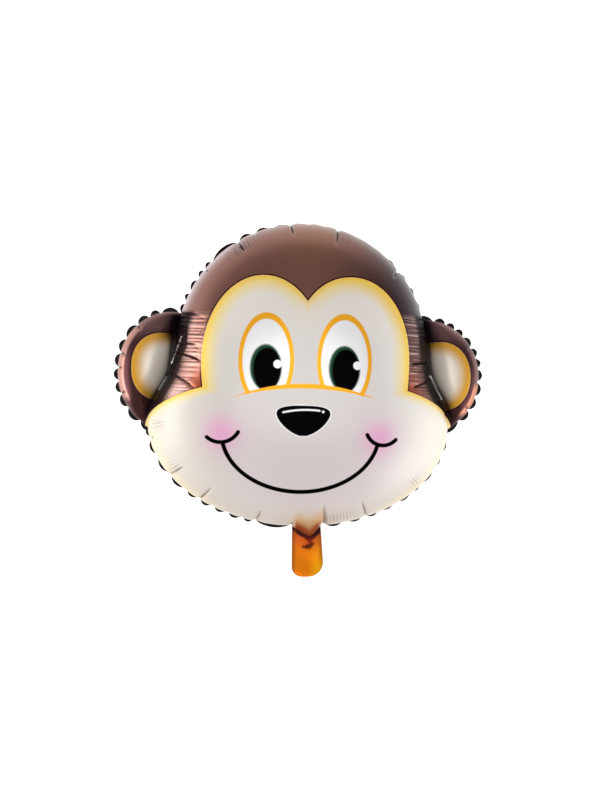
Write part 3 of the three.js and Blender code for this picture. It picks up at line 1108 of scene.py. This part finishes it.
def paint_flank_shade_and_highlights(paint, x, y, front, fold):
    """Beside the ears, painted reflection turns the brown salmon on the left and painted shade
    dulls it on the right, above a band of painted shade at the flank's foot.
    """
    at_ear = ramp(y, -30, -6) * (1 - ramp(y, 76, 88)) * front
    side = ramp(abs(x), 104, 122) * at_ear
    left, right = side * ramp(x, 0, -1), side * ramp(x, 0, 1)
    # Painted reflection on the left flank and painted shade on the right one; the pale salmon far
    # out on the left is a painted highlight.
    paint.lay(left * 0.15, SALMON_HIGHLIGHT)
    paint.lay(right * 0.6, DULL_SALMON_SHADE)
    paint.lay(ramp(x, -126, -142) * side * 0.4, PALE_SALMON_HIGHLIGHT)
    # Painted highlights on the crests between the folds: broad ones on the left and thin ones on
    # the right.
    crests = inside(abs(x) - 138, 3) * ramp(y, -16, 4)
    paint.lay(clamp(1 - fold * 4) * crests * left * 0.35, LEFT_CREST_HIGHLIGHT)
    paint.lay(clamp(1 - fold * 30) * crests * right * 0.5, RIGHT_CREST_HIGHLIGHT)
    for corner in FACE_CORNERS:
        red = glow(length(x - corner[0], y - corner[1]), 19)
        paint.lay(red * side * 0.9, CORNER_RED)
    # A painted highlight low on the left flank.
    pale = glow(length(x + 154, (y + 13) * 1.5), 13)
    paint.lay(pale * side * 0.6, PALE_PINK_HIGHLIGHT)
    # Painted shade: a dark band at the flank's foot beside the valley, black towards the top.
    for band in VALLEY_SHADE_BANDS:
        way = -1 if band["edge"] < 0 else 1
        past = highest(way * (band["edge"] - x), beside(x, y, band["start"], band["end"]))
        band_shade = inside(past, 1) * ramp(y, -30, -6) * inside(y - 83, 1.5) * front
        paint.lay(band_shade * 0.9, BAND_SHADE_BROWN)
        paint.lay(band_shade * ramp(y, 34, 54) * 0.95, BAND_SHADE_BLACK)


def print_and_shade_neck(paint, x, y, z, front):
    """The neck is orange, red-brown at its root, with the dark seam's V over it."""
    to_neck = neck_matrix().inverted()
    turn = math.degrees(math.atan2(to_neck[1][0], to_neck[0][0]))
    nx, ny = turned(x, y, -turn)
    nx = nx + to_neck[0][3] / MM
    ny = ny + to_neck[1][3] / MM
    past_arms = []
    for slope in (THROAT_LENGTH / THROAT_LEFT, THROAT_LENGTH / -THROAT_RIGHT):
        above = ny + THROAT_LENGTH + slope * (nx - THROAT_TIP)
        past_arms.append(above / math.hypot(1, slope))
    above_seam = lowest(*past_arms)
    at_neck = inside(abs(nx) - (18.6 - 0.05 * ny), 0.6) * inside(ny - 30, 1)
    at_neck = at_neck * inside(abs(z) - NECK_DEPTH, 1)
    on_neck = inside(above_seam, 0.8) * at_neck
    paint.lay(on_neck, NECK_ORANGE)
    paint.lay(on_neck * ramp(nx, 0, 16) * 0.6, NECK_AMBER)
    root = 1 - ramp(-1 * ny, 8, 40)
    paint.lay(root * on_neck * 0.8, NECK_ROOT_BROWN)
    paint.lay(ramp(abs(nx - 1), 12.5, 19) * on_neck * 0.7, NECK_EDGE_BROWN)
    paint.lay(ramp(nx, 0, 16) * ramp(-1 * ny, 34, 54) * on_neck * 0.6, NECK_YELLOW)
    throat = (1 - on_neck) * inside(abs(nx) - 16.5, 3) * inside(ny - 30, 1) * front
    paint.lay(throat * (1 - ramp(above_seam, 8, 27)) * 0.85, CHIN_TAN)
    paint.lay(throat * (1 - ramp(above_seam, 4, 14)) * 0.95, CHIN_BROWN)
    seam = abs(above_seam + 2.2) - (3 + 0.04 * nx + 0.4 * sine(nx * 0.45))
    seam = inside(seam, 1.1) * inside(abs(nx) - 19, 1) * front
    paint.lay(seam * 0.95, SEAM_BLACK)
    paint.lay(glow(length(nx - 3, (ny + 22) * 1.3), 9) * on_neck * 0.5, NECK_RED)
    # Painted shade of a small crumple.
    for centre, half_width, half_height in CRUMPLE_SHADES:
        sizes = (half_width, half_width), (half_height, half_height)
        crumple = oval(nx, ny, centre, *sizes) + 0.9 * sine(nx * 1.7 + 1) * sine(ny * 1.9)
        paint.lay(inside(crumple, 1.3) * front * 0.8, CRUMPLE_SHADE_BROWN)


# The finishes: each has its roughness and its specular level
FILM_FINISH = (0.34, 0.01)
FLANGE_FINISH = (0.45, 0.1)
FLOOR_FINISH = (0.8, 0.5)
FLANGE_INKS = ((3, 2, 3), (18, 10, 12))
FLANGE_MOTTLE = 220
CRINKLE_SCALE = 45
CRINKLE_DETAIL = 4
CRINKLE_STRENGTH = 0.12


def new_material(name, finish):
    """A material, its node tree and its shader."""
    material = bpy.data.materials.new(name)
    material.use_nodes = True
    shader = material.node_tree.nodes["Principled BSDF"]
    for socket, value in zip(("Roughness", "Specular IOR Level"), finish):
        shader.inputs[socket].default_value = value
    return material, material.node_tree, shader


def add_noise(tree, scale, detail=2):
    """The output of a noise that is fixed to the piece."""
    texture = tree.nodes.new("ShaderNodeTexCoord")
    noise = tree.nodes.new("ShaderNodeTexNoise")
    noise.inputs["Scale"].default_value = scale
    noise.inputs["Detail"].default_value = detail
    tree.links.new(texture.outputs["Object"], noise.inputs["Vector"])
    return noise.outputs[0]


def film_material():
    material, tree, shader = new_material("printed_film_and_painted_light", FILM_FINISH)
    x, y, z = place_fields(tree)
    front = inside(-1 * z, 0.3)
    folds = tree.nodes.new("ShaderNodeAttribute")
    folds.attribute_name = "fold"
    fold = Field(tree, folds.outputs["Fac"])
    px, py = turned(x, y, PRINT_TURN)
    paint = PrintAndPaintedLight(tree, BROWN)
    # The brown is redder over the brow and cooler to the right.
    paint.lay(ramp(x, 0, 120) * ramp(y, -40, 40) * 0.95, COOL_BROWN)
    # Painted reflection: grey along the steep rim over the crown, paler to the left.
    rim = (1 - ramp(z, 12, 55)) * ramp(y, 60, 100)
    paint.lay(rim * 0.6, RIM_REFLECTION_GREY)
    paint.lay(rim * ramp(x, -60, -110) * 0.65, RIM_REFLECTION_PALE)
    # A painted highlight at the top of the crown.
    paint.lay(glow(length(x, y - 190), 60) * 0.5, CROWN_HIGHLIGHT)
    paint_flank_shade_and_highlights(paint, px, py, front, fold)
    print_and_shade_ears(paint, px, py, z, front)
    # Painted shade in the creases and puckers, under the face's print.
    paint.lay(fold * 0.8, FOLD_SHADE_DARK)
    print_and_shade_face(paint, px, py, front)
    print_and_shade_neck(paint, x, y, z, front)
    # A lighter painted shade in every crease and pucker, over the face too.
    paint.lay(fold * 0.3, FOLD_SHADE_PALE)
    tree.links.new(paint.colour.socket, shader.inputs["Base Color"])
    tree.links.new(paint.metal.socket, shader.inputs["Metallic"])
    add_crinkle(tree, shader)
    return material


def add_crinkle(tree, shader):
    """Faint creases in the thin film, only in its shading."""
    bump = tree.nodes.new("ShaderNodeBump")
    bump.inputs["Strength"].default_value = CRINKLE_STRENGTH
    bump.inputs["Distance"].default_value = MM
    tree.links.new(add_noise(tree, CRINKLE_SCALE, CRINKLE_DETAIL), bump.inputs["Height"])
    tree.links.new(bump.outputs[0], shader.inputs["Normal"])


def flange_material():
    """The weld flange is almost black."""
    material, tree, shader = new_material("dark_flange", FLANGE_FINISH)
    mixed = tree.nodes.new("ShaderNodeMix")
    mixed.data_type = "RGBA"
    mixed.inputs[6].default_value = ink(*FLANGE_INKS[0])
    mixed.inputs[7].default_value = ink(*FLANGE_INKS[1])
    tree.links.new(add_noise(tree, FLANGE_MOTTLE), mixed.inputs[0])
    tree.links.new(mixed.outputs[2], shader.inputs["Base Color"])
    add_crinkle(tree, shader)
    return material


# The stage, in metres and watts: each softbox has its place, its two sides and its power

FLOOR_SIZE = 12
FLOOR_SHADE = 0.9
FLOOR_GLOW = 0.6
WORLD_STRENGTH = 0.45
SOFTBOXES = (
    ("left_softbox", (-1.1, -0.15, 0.26), (0.9, 0.5), 7),
    ("right_softbox", (1.05, -0.4, 0.3), (1.2, 0.6), 5.5),
    ("overhead", (0.0, 0.0, 2.1), (1.4, 1.0), 17),
)


def add_floor():
    bpy.ops.mesh.primitive_plane_add(size=FLOOR_SIZE)
    floor = bpy.context.object
    floor.name = "floor"
    material, _, shader = new_material("pale_floor", FLOOR_FINISH)
    shader.inputs["Base Color"].default_value = (FLOOR_SHADE, FLOOR_SHADE, FLOOR_SHADE, 1)
    shader.inputs["Emission Color"].default_value = (1, 1, 1, 1)
    shader.inputs["Emission Strength"].default_value = FLOOR_GLOW
    floor.data.materials.append(material)


def add_light(name, place, size, power):
    """A softbox that faces the middle of the balloon."""
    data = bpy.data.lights.new(name, "AREA")
    data.shape = "RECTANGLE"
    data.size, data.size_y = size
    data.energy = power
    light = bpy.data.objects.new(name, data)
    light.location = place
    light.rotation_mode = "QUATERNION"
    light.rotation_quaternion = (Vector(place) - Vector(home)).to_track_quat("Z", "Y")
    bpy.context.scene.collection.objects.link(light)


def add_lights():
    world = bpy.data.worlds.new("studio")
    world.use_nodes = True
    world.node_tree.nodes["Background"].inputs[0].default_value = (1, 1, 1, 1)
    world.node_tree.nodes["Background"].inputs[1].default_value = WORLD_STRENGTH
    bpy.context.scene.world = world
    for softbox in SOFTBOXES:
        add_light(*softbox)


def add_camera():
    yaw, roll = math.radians(CAMERA_YAW), math.radians(CAMERA_ROLL)
    back = Vector((-math.sin(yaw), 0, math.cos(yaw)))
    up = Vector((-math.sin(roll), math.cos(roll), 0))
    up = (up - back * up.dot(back)).normalized()
    right = up.cross(back)
    across = IMAGE_SIZE[0] / 2 - HEAD_PIXEL[0]
    down = IMAGE_SIZE[1] / 2 - HEAD_PIXEL[1]
    middle = Vector(home) + (right * across - up * down) * MM_PER_PIXEL * MM
    data = bpy.data.cameras.new("camera")
    data.sensor_width = SENSOR
    data.lens = SENSOR * CAMERA_DISTANCE / (IMAGE_SIZE[1] * MM_PER_PIXEL)
    camera = bpy.data.objects.new("camera", data)
    turn = Matrix((right, up, back)).transposed().to_4x4()
    camera.matrix_world = Matrix.Translation(middle + back * CAMERA_DISTANCE * MM) @ turn
    bpy.context.scene.collection.objects.link(camera)
    bpy.context.scene.camera = camera


def find_home():
    """The head's middle in the part's frame: over the rest spot, in the plane of the weld."""
    mounts = {mount["name"]: mount for mount in frame["record"]["mounts"]}
    spot = mounts["rest_spot"]["pos_m"]
    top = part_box("balloon")[1].z
    return spot[0], spot[1], top - (HEAD_SWELL + FLANGE_THICKNESS / 2) * MM


home = find_home()
materials = [film_material(), flange_material()]
balloon = weld([
    build_head(materials),
    build_ear("left_ear", LEFT_EAR, LEFT_EAR_CREASES, LEFT_RIDGE, materials),
    build_ear("right_ear", RIGHT_EAR, RIGHT_EAR_CREASES, RIGHT_RIDGE, materials),
    build_neck(materials),
], "monkey_balloon")
balloon.data.transform(Matrix.Translation(home))
balloon.data.shade_smooth()
balloon.data.set_sharp_from_angle(angle=math.radians(SHARP_ANGLE))
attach(balloon, "root")
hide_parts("balloon")

add_floor()
add_lights()
add_camera()
bpy.context.scene.view_settings.view_transform = "Standard"
